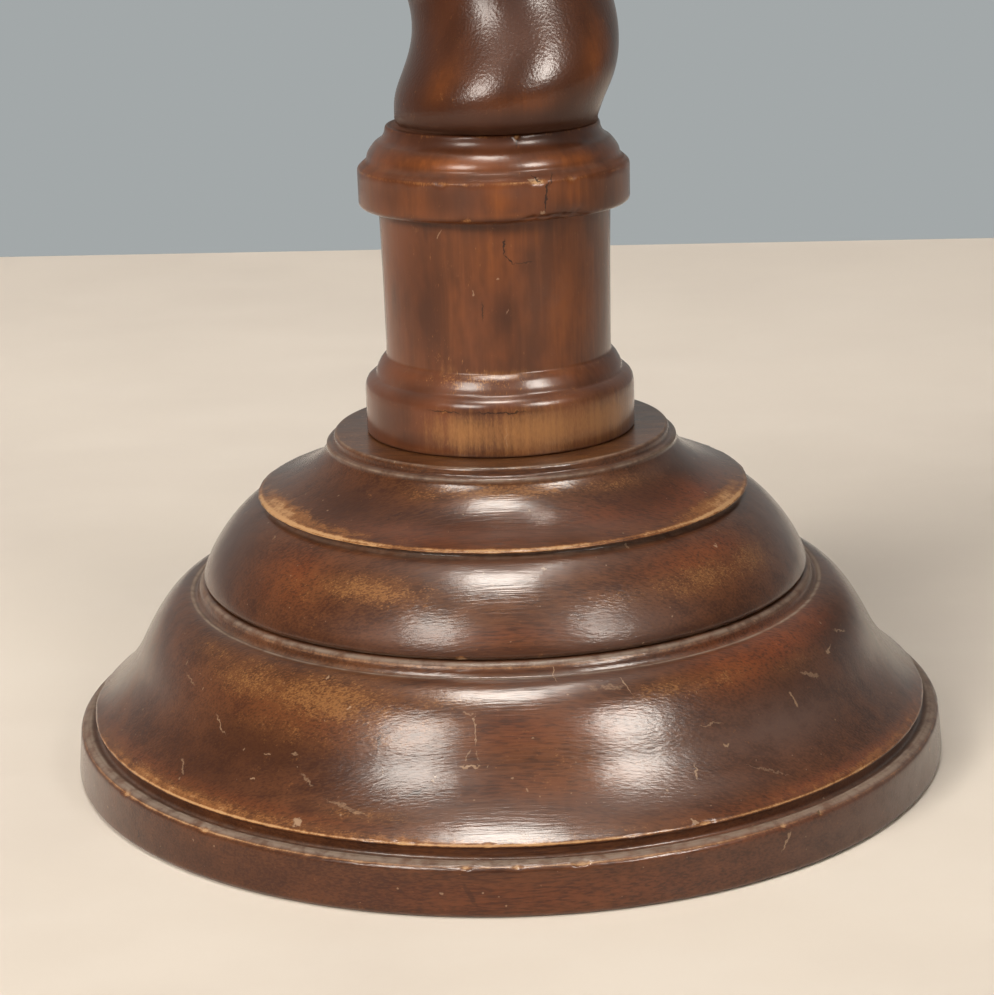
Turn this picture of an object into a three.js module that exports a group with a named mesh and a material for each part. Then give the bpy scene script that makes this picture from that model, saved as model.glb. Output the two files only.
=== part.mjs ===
// A turned wooden pedestal: two stacked base discs, a column with a single-start twist, and a round top.
// Units are millimetres, +Z is up, and the origin is the centre of the underside.
import * as THREE from 'three';

// Clearance left between two pieces that touch
const gap = 0.3;

// Straight pieces that each curve of an outline is split into, on the discs and on the narrower column
const discCurveSteps = 5;
const columnCurveSteps = 3;

// Wide bottom disc. A pull is how far a curve's handle lies from its end, outwards and upwards.
const base = {
  radius: 190,
  height: 81.5,
  rimHeight: 20.2,
  rimTaper: 1.6,
  edgeRounding: 1.2,
  bandWidth: 6,
  bandHeight: 21.6,
  quirkWidth: 1.6,
  quirkDepth: 0.8,
  lipRadius: 181.8,
  lipHeight: 26.3,
  lipPull: [-7.7, 4.5],
  middleRadius: 160.8,
  middleHeight: 50.3,
  middlePull: [4.1, -8.1],
  crestRadius: 136.4,
  crestHeight: 76.6,
  crestPull: [11.6, 0],
  crestWidth: 2,
  beadWidth: 2,
  beadHeight: 1.8,
  sides: 52,
};

// Second disc, glued on the first
const tier = {
  footRadius: 131.2,
  footRounding: 1.4,
  footPull: [-2.8, 11.6],
  height: 61.7,
  quirkRadius: 103.6,
  quirkHeight: 33.2,
  quirkPull: [9.6, -1.8],
  quirkDepth: 0.8,
  quirkWidth: 2,
  lipRadius: 106.3,
  lipHeight: 37.2,
  lipRounding: 1.6,
  lipPull: [-12.4, 2.8],
  ringRadius: 75.4,
  ringHeight: 57.4,
  ringPull: [4.2, -8.6],
  ringRounding: 1.8,
  topRadius: 72,
  topRounding: 0.6,
  sides: 44,
};

// Column, turned from one blank: foot, drum, collar, twist, upper collar and head
const column = {
  blankRadius: 57.7,
  footHeight: 19,
  footRoundRadius: 53,
  footRoundHeight: 24.8,
  footFilletTop: 27.6,
  drumRadius: 48.3,
  drumBottom: 32.6,
  drumTaper: 0.5,
  drumLip: 1,
  collarBottom: 96.8,
  collarRadius: 57.3,
  collarRounding: 1.8,
  collarBandTop: 112.8,
  collarShoulder: 3.9,
  ovoloHeight: 7.6,
  ovoloWidth: 4.1,
  mouthRadius: 45,
  mouthHeight: 5.8,
  mouthRounding: 1,
  collarTop: 130.6,
  headHeight: 74,
  sides: 28,
};

// Upper collar and head, as heights above the end of the twist
const head = {
  neckHeight: 6,
  coveWidth: 10.7,
  coveHeight: 9,
  collarBottom: 17,
  collarTop: 32,
  drumBottom: 34,
  drumTop: 58,
  capHeight: 68,
};

// How far each end of the twist sinks below the collar's rounded mouth
const seat = 0.2;

// Twist: a round section whose centre circles the axis. Near each end it swells and then draws in to a
// neck, and at the lower end the neck leans a little to one side.
const twist = {
  radius: 42.4,
  offset: 10.6,
  offsetRunOut: 4.4,
  pitch: 130,
  turns: 5,
  startAngle: THREE.MathUtils.degToRad(-106),
  neckRadius: 41,
  neckLength: 18.7,
  swell: 1.9,
  swellHeight: 18,
  swellLength: 16,
  lean: 3.4,
  leanLength: 9,
  endRingHeights: [0, 1.5, 4, 8, 14, 22],
  ringsPerTurn: 8,
};

// Round top plate, with a moulded boss under it
const plate = {
  radius: 150,
  edgeHeight: 24,
  edgeRounding: 8,
  height: 42,
  bossRadius: 74,
  bossPull: [20, 0.6],
  underRadius: 112,
  underPull: [-1.6, -12],
  sides: 40,
};

const darkWood = { color: 0x4a2517, roughness: 0.36, metalness: 0 };
const redWood = { color: 0x5e2c1a, roughness: 0.33, metalness: 0 };

// Turns an outline of radius and height about the vertical axis
function turnedGeometry(outline, sides) {
  const geometry = new THREE.LatheGeometry(outline.getPoints(discCurveSteps), sides);
  geometry.rotateX(Math.PI / 2);
  return geometry;
}

// Cubic curve from a start to an end point, each with its handle given as a pull from that point
function addCurve(outline, start, startPull, endPull, end) {
  outline.bezierCurveTo(
    start[0] + startPull[0], start[1] + startPull[1],
    end[0] + endPull[0], end[1] + endPull[1],
    end[0], end[1],
  );
}

// Rim, flat band, quirk, then a reversed curve: hollow below, round above, and a bead at the top
function baseOutline() {
  const rimTopRadius = base.radius - base.rimTaper;
  const quirkRadius = base.lipRadius - base.quirkWidth;
  const lip = [base.lipRadius, base.lipHeight];
  const middle = [base.middleRadius, base.middleHeight];
  const crest = [base.crestRadius, base.crestHeight];
  const upwardPull = base.middlePull.map((pull) => -pull);
  const beadRadius = base.crestRadius - base.crestWidth - base.edgeRounding;
  const outline = new THREE.Path();
  outline.moveTo(0, 0);
  outline.lineTo(base.radius - base.edgeRounding, 0);
  outline.lineTo(base.radius, base.edgeRounding);
  outline.lineTo(rimTopRadius, base.rimHeight - base.edgeRounding);
  outline.lineTo(rimTopRadius - base.edgeRounding, base.rimHeight);
  outline.lineTo(base.radius - base.bandWidth, base.bandHeight);
  outline.lineTo(quirkRadius, base.bandHeight - base.quirkDepth);
  outline.lineTo(quirkRadius, base.lipHeight - base.quirkWidth);
  outline.lineTo(...lip);
  addCurve(outline, lip, base.lipPull, base.middlePull, middle);
  addCurve(outline, middle, upwardPull, base.crestPull, crest);
  outline.lineTo(base.crestRadius - base.crestWidth, base.crestHeight);
  outline.lineTo(beadRadius, base.height - base.beadHeight);
  outline.lineTo(beadRadius - base.beadWidth, base.height);
  outline.lineTo(0, base.height);
  return outline;
}

// Fat quarter round, quirk under a sharp lip, deep hollow, small ring, and the flat that carries the column
function tierOutline() {
  const foot = [tier.footRadius, tier.footRounding];
  const quirk = [tier.quirkRadius, tier.quirkHeight];
  const lip = [tier.lipRadius - tier.lipRounding, tier.lipHeight];
  const ring = [tier.ringRadius, tier.ringHeight - tier.ringRounding];
  const outline = new THREE.Path();
  outline.moveTo(0, 0);
  outline.lineTo(tier.footRadius - tier.footRounding, 0);
  outline.lineTo(...foot);
  addCurve(outline, foot, tier.footPull, tier.quirkPull, quirk);
  outline.lineTo(tier.quirkRadius - tier.quirkDepth, tier.quirkHeight + tier.quirkWidth);
  outline.lineTo(tier.lipRadius, tier.lipHeight - tier.lipRounding / 2);
  outline.lineTo(...lip);
  addCurve(outline, lip, tier.lipPull, tier.ringPull, ring);
  outline.lineTo(tier.ringRadius, tier.ringHeight);
  outline.lineTo(tier.ringRadius - tier.ringRounding, tier.ringHeight + tier.ringRounding / 2);
  outline.lineTo(tier.topRadius, tier.ringHeight + tier.ringRounding / 2);
  outline.lineTo(tier.topRadius, tier.height - tier.topRounding);
  outline.lineTo(tier.topRadius - tier.topRounding, tier.height);
  outline.lineTo(0, tier.height);
  return outline;
}

// Foot, drum and collar of the column, from its underside to the mouth that the twist rises from
function columnFootOutline() {
  const { blankRadius, footHeight, footRoundRadius, footRoundHeight, drumRadius, drumTaper } = column;
  const { collarBottom, collarRadius, collarRounding, collarBandTop, collarTop, mouthRadius } = column;
  const ovoloRadius = collarRadius - column.collarShoulder;
  const ovoloBottom = collarBandTop + column.collarShoulder;
  const ovoloTop = ovoloBottom + column.ovoloHeight;
  const outline = new THREE.Path();
  outline.moveTo(blankRadius, 0);
  outline.lineTo(blankRadius, footHeight);
  outline.quadraticCurveTo(blankRadius, footRoundHeight, footRoundRadius, footRoundHeight);
  outline.lineTo(footRoundRadius - column.drumLip, column.footFilletTop);
  outline.lineTo(drumRadius + column.drumLip, column.drumBottom - column.drumLip);
  outline.lineTo(drumRadius, column.drumBottom);
  outline.lineTo(drumRadius + drumTaper, collarBottom);
  outline.lineTo(collarRadius - collarRounding, collarBottom);
  outline.lineTo(collarRadius, collarBottom + collarRounding);
  outline.lineTo(collarRadius, collarBandTop);
  outline.lineTo(collarRadius - collarRounding, collarBandTop + collarRounding);
  outline.lineTo(ovoloRadius, ovoloBottom);
  outline.quadraticCurveTo(ovoloRadius, ovoloTop - 1, ovoloRadius - column.ovoloWidth, ovoloTop);
  outline.lineTo(mouthRadius, collarTop - column.mouthHeight + column.mouthRounding);
  outline.lineTo(mouthRadius, collarTop - column.mouthRounding);
  outline.lineTo(mouthRadius - column.mouthRounding, collarTop);
  return outline;
}

// Upper collar and head, plainer than the foot, listed from the twist upwards
function columnHeadOutline() {
  const { blankRadius, collarRadius, collarRounding, mouthRadius, mouthRounding, drumRadius } = column;
  const coveRadius = mouthRadius + head.coveWidth;
  const coveTop = head.neckHeight + head.coveHeight;
  const outline = new THREE.Path();
  outline.moveTo(mouthRadius - mouthRounding, 0);
  outline.lineTo(mouthRadius, mouthRounding);
  outline.lineTo(mouthRadius, head.neckHeight);
  outline.quadraticCurveTo(coveRadius, head.neckHeight + collarRounding, coveRadius, coveTop);
  outline.lineTo(collarRadius, head.collarBottom);
  outline.lineTo(collarRadius, head.collarTop);
  outline.lineTo(drumRadius, head.drumBottom);
  outline.lineTo(drumRadius, head.drumTop);
  outline.quadraticCurveTo(drumRadius, head.capHeight, blankRadius, head.capHeight);
  outline.lineTo(blankRadius, column.headHeight);
  return outline;
}

// Boss and quarter round underneath, then a plate with a rounded edge
function plateOutline() {
  const { radius, edgeHeight, edgeRounding, height, bossRadius, underRadius } = plate;
  const edgeBottom = height - edgeHeight;
  const edgeMiddle = height - edgeHeight / 2;
  const boss = [bossRadius, 0];
  const under = [underRadius, edgeBottom];
  const outline = new THREE.Path();
  outline.moveTo(0, 0);
  outline.lineTo(...boss);
  addCurve(outline, boss, plate.bossPull, plate.underPull, under);
  outline.lineTo(radius - edgeRounding, edgeBottom);
  outline.quadraticCurveTo(radius, edgeBottom, radius, edgeMiddle);
  outline.quadraticCurveTo(radius, height, radius - edgeRounding, height);
  outline.lineTo(0, height);
  return outline;
}

// Rings of the column about its axis, one for each point of an outline
function ringsFromOutline(outline, bottom) {
  const points = outline.getPoints(columnCurveSteps);
  return points.map((point) => ({ radius: point.x, height: bottom + point.y, x: 0, y: 0 }));
}

// Bell-shaped fade: 1 at the middle, and close to 0 beyond twice the width
function bell(distance, width) {
  return Math.exp(-((distance / width) ** 2));
}

// Heights of the twist's rings: closer together where it runs out into the collars
function twistHeights(length) {
  const { endRingHeights, turns, ringsPerTurn } = twist;
  const lastEndHeight = endRingHeights[endRingHeights.length - 1];
  const count = Math.round((turns * ringsPerTurn * (length - 2 * lastEndHeight)) / length);
  const step = (length - 2 * lastEndHeight) / count;
  const between = Array.from({ length: count - 1 }, (_, index) => lastEndHeight + step * (index + 1));
  return [...endRingHeights, ...between, ...endRingHeights.map((height) => length - height).reverse()];
}

function twistRings(bottom) {
  const { smoothstep, lerp } = THREE.MathUtils;
  const length = twist.pitch * twist.turns;
  return twistHeights(length).map((height) => {
    const fromEnd = Math.min(height, length - height);
    const fullness = smoothstep(fromEnd, -0.3 * twist.neckLength, twist.neckLength);
    const swell = twist.swell * bell(fromEnd - twist.swellHeight, twist.swellLength);
    const offset = twist.offset * smoothstep(fromEnd, -0.5 * twist.offsetRunOut, twist.offsetRunOut);
    const angle = twist.startAngle + (2 * Math.PI * height) / twist.pitch;
    return {
      radius: lerp(twist.neckRadius, twist.radius, fullness) + swell,
      height: bottom + height,
      x: offset * Math.cos(angle) + twist.lean * bell(height, twist.leanLength),
      y: offset * Math.sin(angle),
    };
  });
}

// Rings as seen from above are circles of one side count, joined into one solid with flat ends
function ringedGeometry(rings, sides) {
  const positions = [];
  const triangles = [];
  rings.forEach(({ radius, height, x, y }) => {
    for (let side = 0; side < sides; side += 1) {
      const angle = (2 * Math.PI * side) / sides;
      positions.push(x + radius * Math.cos(angle), y + radius * Math.sin(angle), height);
    }
  });
  for (let level = 0; level < rings.length - 1; level += 1) {
    for (let side = 0; side < sides; side += 1) {
      const next = (side + 1) % sides;
      const lower = level * sides;
      const upper = lower + sides;
      triangles.push(lower + side, lower + next, upper + next);
      triangles.push(lower + side, upper + next, upper + side);
    }
  }
  const lowerCentre = positions.length / 3;
  const upperCentre = lowerCentre + 1;
  const first = rings[0];
  const last = rings[rings.length - 1];
  positions.push(first.x, first.y, first.height, last.x, last.y, last.height);
  const lastLevel = (rings.length - 1) * sides;
  for (let side = 0; side < sides; side += 1) {
    const next = (side + 1) % sides;
    triangles.push(lowerCentre, next, side);
    triangles.push(upperCentre, lastLevel + side, lastLevel + next);
  }
  const geometry = new THREE.BufferGeometry();
  geometry.setAttribute('position', new THREE.Float32BufferAttribute(positions, 3));
  geometry.setIndex(triangles);
  geometry.computeVertexNormals();
  return geometry;
}

function columnGeometry() {
  const twistBottom = column.collarTop - seat;
  const twistTop = twistBottom + twist.pitch * twist.turns;
  const rings = [
    ...ringsFromOutline(columnFootOutline(), 0),
    ...twistRings(twistBottom),
    ...ringsFromOutline(columnHeadOutline(), twistTop - seat),
  ];
  return ringedGeometry(rings, column.sides);
}

function piece(name, geometry, look, height) {
  const mesh = new THREE.Mesh(geometry, new THREE.MeshStandardMaterial(look));
  mesh.name = name;
  mesh.position.z = height;
  return mesh;
}

const tierBottom = base.height + gap;
const columnBottom = tierBottom + tier.height + gap;
const columnHeight = column.collarTop + twist.pitch * twist.turns + column.headHeight - 2 * seat;
const plateBottom = columnBottom + columnHeight + gap;

const pedestal = new THREE.Group();
pedestal.add(piece('base_disc_lower', turnedGeometry(baseOutline(), base.sides), darkWood, 0));
pedestal.add(piece('base_disc_upper', turnedGeometry(tierOutline(), tier.sides), darkWood, tierBottom));
pedestal.add(piece('column', columnGeometry(), redWood, columnBottom));
pedestal.add(piece('top_plate', turnedGeometry(plateOutline(), plate.sides), darkWood, plateBottom));

export default pedestal;
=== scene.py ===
import math
from collections import namedtuple

import bpy
import numpy as np
from mathutils import Matrix, Vector, noise


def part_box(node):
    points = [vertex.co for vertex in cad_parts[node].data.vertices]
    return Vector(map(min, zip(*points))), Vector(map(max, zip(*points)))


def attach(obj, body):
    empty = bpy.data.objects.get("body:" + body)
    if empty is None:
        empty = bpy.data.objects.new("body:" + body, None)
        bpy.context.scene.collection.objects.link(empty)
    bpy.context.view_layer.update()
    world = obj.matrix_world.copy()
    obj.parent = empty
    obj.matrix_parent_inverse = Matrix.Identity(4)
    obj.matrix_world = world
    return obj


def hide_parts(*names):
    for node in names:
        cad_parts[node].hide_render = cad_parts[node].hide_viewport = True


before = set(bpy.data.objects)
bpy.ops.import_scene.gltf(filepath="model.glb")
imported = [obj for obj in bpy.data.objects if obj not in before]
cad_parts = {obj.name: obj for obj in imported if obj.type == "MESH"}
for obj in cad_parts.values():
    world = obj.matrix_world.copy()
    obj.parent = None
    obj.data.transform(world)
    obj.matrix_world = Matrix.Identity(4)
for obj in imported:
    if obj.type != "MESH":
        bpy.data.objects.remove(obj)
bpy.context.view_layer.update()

MM = 0.001

# Faces round each piece, and the share of them on the photographed half
LOWER_SEGMENTS = 760
UPPER_SEGMENTS = 680
COLUMN_SEGMENTS = 280
PLATE_SEGMENTS = 320
FRONT_SHARE = 0.66

# Distance between rings in millimetres on a plain stretch, and how it grows away from a corner elsewhere
PLAIN_STEP = 14.0
STEP_GROWTH = 0.4

# How far a fillet reaches at most, as a share of the way to the next corner
FILLET_REACH = 0.48

# A length in millimetres too small to show
TINY = 1e-6

# Camera in metres and radians, fitted to the photographed discs, with its lens in millimetres
CAMERA_PLACE = (0.0, -1.0695, 0.4136)
CAMERA_DOWN = math.radians(15.81)
CAMERA_TURN = math.radians(-0.143)
CAMERA_ROLL = math.radians(-1.723)
CAMERA_LENS = 92.5

# Twist of the shaft: a round section whose centre circles the axis. Its start is an angle from +X to +Y.
TWIST_BOTTOM = 274.2
TWIST_RADIUS = 42.4
TWIST_OFFSET = 10.6
TWIST_OFFSET_RUN_OUT = 4.4
TWIST_PITCH = 130.0
TWIST_TURNS = 5
TWIST_START = math.radians(-106)
TWIST_NECK_RADIUS = 41.0
TWIST_NECK_LENGTH = 18.7
TWIST_SWELL = 1.9
TWIST_SWELL_HEIGHT = 18.0
TWIST_SWELL_LENGTH = 16.0
TWIST_LEAN = 3.4
TWIST_LEAN_LENGTH = 9.0
TWIST_STEPS = (2.0, 5.0)
TWIST_FINE_LENGTH = 110.0
TWIST_DUST = 0.5
TWIST_DUST_LENGTH = 4.0
TWIST_END_OVERLAP = 0.2
RUN_BETWEEN_PARTS = 3.0

# How far before each end the twist's fullness and offset start to change, as shares of their lengths
TWIST_NECK_LEAD = -0.3
TWIST_OFFSET_LEAD = -0.5

# Fine marks: the radii at which their angles turn into lengths, how many are worked out at once, the wobble
# of their lines, their soft rims, and how far out a mark ends and is full. Lengths are in millimetres.
LOWER_MARK_RADIUS = 160.0
UPPER_MARK_RADIUS = 118.0
COLUMN_MARK_RADIUS = 55.0
MARKS_AT_ONCE = 8
WOBBLE = 1.6
WOBBLE_NOISE = {"Scale": 420.0, "Detail": 2.0}
MARK_SOFT_LENGTH = 0.3
MARK_SOFT_WIDTH = 0.1
MARK_EDGE = (1.15, 0.55)

# Share of an edge's wear where no worn patch lies on it
UNWORN_SHARE = 0.35

# Unevenness of the turned surfaces: depth in millimetres, width of its hills in millimetres, and seed
SLOW_WAVES = (0.09, 26, 4.5)
FINE_WAVES = (0.03, 7, 9.5)

# Rubbing of the worn edges: depth in millimetres, its even share, and its broad and fine waves
RUB_DEPTH = 0.45
RUB_EVEN = 0.35
RUB_BROAD = (1.1, 9, 2.5)
RUB_FINE = (0.5, 2.6, 6.5)

# Chips: uneven depth, where the floor ends and the rim starts along half the length, and bare wood's share
CHIP_WAVES = (0.6, 1.7, 1.5)
CHIP_FLOOR = 0.3
CHIP_RIM = 0.62
CHIP_BARE = 0.5

# Distance in millimetres from a piece's underside and top within which its surface stays true
TRUE_MARGIN = 0.3


# Outlines

# Edges that are chipped: radius and height
RIM_EDGE = (187.6, 20.2)
LOWER_LIP = (181.8, 26.3)
UPPER_FOOT = (133.2, 79.7)
UPPER_LIP = (106.3, 118.0)
PLINTH_TOP = (57.7, 162.5)
COLLAR_FOOT = (57.2, 241.2)
COLLAR_TOP = (57.3, 256.4)
MOUTH = (45.0, 273.6)

# One corner of an outline: its rounding, wear and dust. After a plain one few rings are needed.
CORNER_DEFAULTS = (0.0, 0.0, 0.0, 1.2, False)
Corner = namedtuple("Corner", "radius height fillet wear dust spread plain", defaults=CORNER_DEFAULTS)


def curve(start, pull_start, pull_end, end, steps=16):
    """Points of a cubic curve between two corners, without its ends."""
    places = (start, pull_start, pull_end, end)
    points = []
    for index in range(1, steps):
        t = index / steps
        u = 1 - t
        weights = (u ** 3, 3 * u * u * t, 3 * u * t * t, t ** 3)
        radius = sum(weight * place[0] for weight, place in zip(weights, places))
        height = sum(weight * place[1] for weight, place in zip(weights, places))
        points.append(Corner(radius, height))
    return points


def fillet_arc(before, here, after, fillet, steps=5):
    """A small arc that cuts a corner, less than half way to its neighbours."""
    back = before - here
    on = after - here
    start = here + back * min(fillet / np.linalg.norm(back), FILLET_REACH)
    stop = here + on * min(fillet / np.linalg.norm(on), FILLET_REACH)
    return [(1 - t) ** 2 * start + 2 * t * (1 - t) * here + t * t * stop for t in np.linspace(0, 1, steps)]


def rounded(corners):
    """Rows of radius and height with the fillets put in, which rows start a plain stretch, and the marks.

    A mark is the row in the middle of a corner that has a fillet, wear or dust, with that corner.
    """
    points, plain, marks = [], [], []
    for index, item in enumerate(corners):
        here = np.array(item[:2], float)
        end = index in (0, len(corners) - 1)
        arc = [here]
        if item.fillet and not end:
            before = np.array(corners[index - 1][:2], float)
            after = np.array(corners[index + 1][:2], float)
            arc = fillet_arc(before, here, after, item.fillet)
        points += arc
        plain += [False] * (len(arc) - 1) + [item.plain]
        if item.fillet or item.wear or item.dust:
            marks.append((len(points) - 1 - len(arc) // 2, item))
    return np.array(points), plain, marks


class Outline:
    """A turned outline as fine rings, each with its run along the outline, wear and dust."""

    def __init__(self, corners, coarse=2.2, fine=0.4):
        points, plain, marks = rounded(corners)
        lengths = np.hypot(*np.diff(points, axis=0).T)
        run = np.concatenate([[0], np.cumsum(lengths)])
        centres = np.array([run[index] for index, _ in marks])
        stations = [0.0]
        while stations[-1] < run[-1]:
            stretch = np.searchsorted(run, stations[-1] + TINY) - 1
            near = np.abs(centres - stations[-1]).min()
            step = min(coarse, fine + STEP_GROWTH * near)
            if plain[stretch]:
                step = min(PLAIN_STEP, run[stretch + 1] - stations[-1])
            stations.append(stations[-1] + step)
        stations[-1] = run[-1]
        self.run = np.array(stations)
        self.radius = np.interp(self.run, run, points[:, 0])
        self.height = np.interp(self.run, run, points[:, 1])
        self.wear = np.zeros_like(self.run)
        self.dust = np.zeros_like(self.run)
        for centre, (_, item) in zip(centres, marks):
            fall = bell(self.run - centre, item.spread)
            self.wear = np.maximum(self.wear, item.wear * fall)
            self.dust = np.maximum(self.dust, item.dust * fall)
        self.centre_x = np.zeros_like(self.run)
        self.centre_y = np.zeros_like(self.run)

    def run_at(self, radius, height):
        """Run of the outline's point nearest to a radius and height."""
        return self.run[np.hypot(self.radius - radius, self.height - height).argmin()]


def lower_disc_outline():
    middle = (160.8, 50.3)
    crest = (136.4, 76.6)
    return Outline([
        Corner(0, 0, plain=True),
        Corner(186, 0),
        Corner(188.7, 0, 1.0, wear=0.35, dust=0.5),
        Corner(190.0, 1.6, 1.2),
        Corner(188.4, 18.8, 0.8),
        Corner(*RIM_EDGE, 1.0, wear=0.95, spread=0.5),
        Corner(185.6, 21.0, 1.0, dust=0.9, spread=1.7),
        Corner(183.8, 21.5, 0.6, wear=0.2, dust=1.0),
        Corner(182.3, 20.9, 0.5),
        Corner(180.8, 20.4, 0.6, dust=0.25, spread=0.8),
        Corner(180.3, 21.4, 0.5),
        Corner(180.6, 24.7, 0.5),
        Corner(181.7, 25.2, 0.4),
        Corner(*LOWER_LIP, 0.7, wear=1.0, spread=0.7),
        *curve(LOWER_LIP, (174.1, 30.8), (164.9, 42.2), middle),
        Corner(*middle),
        *curve(middle, (156.7, 58.4), (148.0, 76.6), crest),
        Corner(*crest, 0.5, wear=0.35, dust=1.3, spread=0.8),
        Corner(134.7, 76.0, 0.5, dust=0.25),
        Corner(133.9, 77.4, 0.5),
        Corner(133.2, 79.7, 0.6, wear=0.5, dust=0.3, spread=0.6),
        Corner(132.2, 80.9, 0.7, dust=0.8, spread=1.2),
        Corner(130.6, 81.5, 0.4),
        Corner(126, 81.5, plain=True),
        Corner(0, 81.5),
    ], coarse=1.9)


def upper_disc_outline():
    quirk = (103.6, 115.0)
    lip = (104.9, 119.0)
    ring_foot = (75.4, 137.4)
    foot = (131.2, 83.2)
    return Outline([
        Corner(0, 81.8, plain=True),
        Corner(127, 81.8),
        Corner(129.8, 81.8, 0.6, dust=0.5),
        Corner(*foot, 1.0, wear=0.1),
        *curve(foot, (128.4, 94.8), (113.2, 113.2), quirk, 24),
        Corner(*quirk, 0.5, dust=0.3),
        Corner(102.7, 115.9, 0.4, dust=0.2, spread=0.8),
        Corner(102.7, 116.9, 0.4),
        Corner(105.2, 117.2, 0.5),
        Corner(*UPPER_LIP, 0.5, wear=0.9, spread=0.7),
        Corner(*lip, 0.8, wear=0.85, spread=1.1),
        *curve(lip, (92.3, 121.8), (79.6, 128.8), ring_foot, 20),
        Corner(*ring_foot, 0.4),
        Corner(75.5, 139.1, 0.7, wear=0.3, dust=0.8, spread=0.6),
        Corner(74.2, 140.1, 0.6, dust=0.3),
        Corner(72.6, 139.9, 0.3),
        Corner(72.3, 140.6, 0.3),
        Corner(72.1, 142.6, 0.4),
        Corner(71.4, 143.5, 0.7, wear=0.5, dust=0.6, spread=0.6),
        Corner(55.0, 143.5, plain=True),
        Corner(0, 143.5),
    ], coarse=1.8)


def column_foot_corners():
    """Plinth, quarter round, drum and collar, up to the mouth that the twist rises from."""
    return [
        Corner(0, 143.8, plain=True),
        Corner(55, 143.8),
        Corner(57.3, 143.8, 0.4, dust=0.6),
        Corner(57.7, 144.4, 0.4),
        Corner(*PLINTH_TOP, 0.6, wear=0.3, spread=0.5),
        *curve((57.6, 162.8), (57.5, 165.4), (56.2, 168.0), (53.0, 168.5), 10),
        Corner(53.0, 168.6, 0.6, wear=0.25),
        Corner(52.3, 171.2, 1.2),
        Corner(50.6, 174.4, 0.8),
        Corner(49.3, 176.0, 0.5, wear=0.3, dust=0.2),
        Corner(48.2, 176.8, 0.5, dust=0.2),
        Corner(48.1, 180.0),
        Corner(48.3, 210.0),
        Corner(48.9, 240.0, 0.3, dust=0.3),
        Corner(55.2, 240.0, 0.4),
        Corner(*COLLAR_FOOT, 1.4, wear=0.15),
        Corner(*COLLAR_TOP, 0.6, wear=0.9, spread=0.6),
        Corner(56.4, 257.6, 0.7, wear=0.3, dust=0.3, spread=0.7),
        Corner(54.4, 259.3, 1.2, dust=0.5),
        Corner(53.3, 260.3, 0.5, dust=0.25),
        *curve((53.2, 260.8), (53.1, 262.8), (51.8, 264.6), (49.4, 267.3), 10),
        Corner(49.3, 267.4, 0.4, wear=0.25, dust=0.2),
        Corner(46.7, 268.8, 1.6),
        Corner(45.4, 271.0, 1.0),
        Corner(*MOUTH, 0.6, wear=0.45, spread=0.8),
        Corner(44.2, 274.3, 0.5),
        Corner(42.6, 273.9, 0.4, dust=0.4),
    ]


def column_head_corners(bottom):
    """Upper collar and head, plainer than the foot."""
    return [
        Corner(43.6, bottom),
        Corner(45.0, bottom + 0.8, 0.6, wear=0.4),
        Corner(45.2, bottom + 6, 0.8, dust=0.2),
        *curve((45.4, bottom + 6.2), (51.0, bottom + 7.4), (54.6, bottom + 10), (55.7, bottom + 15), 10),
        Corner(55.8, bottom + 15.4, 0.5, dust=0.2),
        Corner(57.3, bottom + 17, 0.8, wear=0.6),
        Corner(57.3, bottom + 32, 1.2, wear=0.6),
        Corner(48.5, bottom + 33.6, 0.6, dust=0.3),
        Corner(48.3, bottom + 58, 1.0),
        *curve((48.3, bottom + 58.2), (48.8, bottom + 64), (52.4, bottom + 67.4), (57.0, bottom + 68), 10),
        Corner(57.7, bottom + 68.4, 0.5, wear=0.5),
        Corner(57.7, bottom + 73.6, 0.4),
        Corner(57.3, bottom + 74, 0.3, plain=True),
        Corner(0, bottom + 74),
    ]


def plate_outline():
    """Boss and quarter round underneath, then a plate with a rounded edge."""
    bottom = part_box("top_plate")[0][2] / MM
    return Outline([
        Corner(0, bottom, plain=True),
        Corner(73.6, bottom, 0.6),
        Corner(74.2, bottom + 0.6, 0.5, wear=0.4),
        *curve((74.4, bottom + 0.8), (94, bottom + 1.6), (110.4, bottom + 6), (112, bottom + 17.6), 20),
        Corner(112, bottom + 18, 0.5, dust=0.3),
        Corner(142, bottom + 18, 1.4, wear=0.4),
        *curve((142.6, bottom + 18.2), (150, bottom + 19.6), (150, bottom + 24), (150, bottom + 30), 10),
        *curve((150, bottom + 30), (150, bottom + 37), (148.4, bottom + 41.4), (143.6, bottom + 41.9), 10),
        Corner(143, bottom + 42, 0.6, wear=0.5),
        Corner(120, bottom + 42, plain=True),
        Corner(0, bottom + 42),
    ])


def smooth(value, low, high):
    """0 below low, 1 above high and eased between them."""
    t = np.clip((value - low) / (high - low), 0, 1)
    return t * t * (3 - 2 * t)


def bell(distance, width):
    """1 at no distance, falling off on both sides."""
    return np.exp(-(distance / width) ** 2)


def twist_levels():
    """Heights of the twist's rings, close together on the photographed first turn."""
    length = TWIST_PITCH * TWIST_TURNS
    near = np.arange(0, TWIST_FINE_LENGTH, TWIST_STEPS[0])
    far = np.linspace(TWIST_FINE_LENGTH, length, round((length - TWIST_FINE_LENGTH) / TWIST_STEPS[1]))
    return np.concatenate([near, far])


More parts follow.
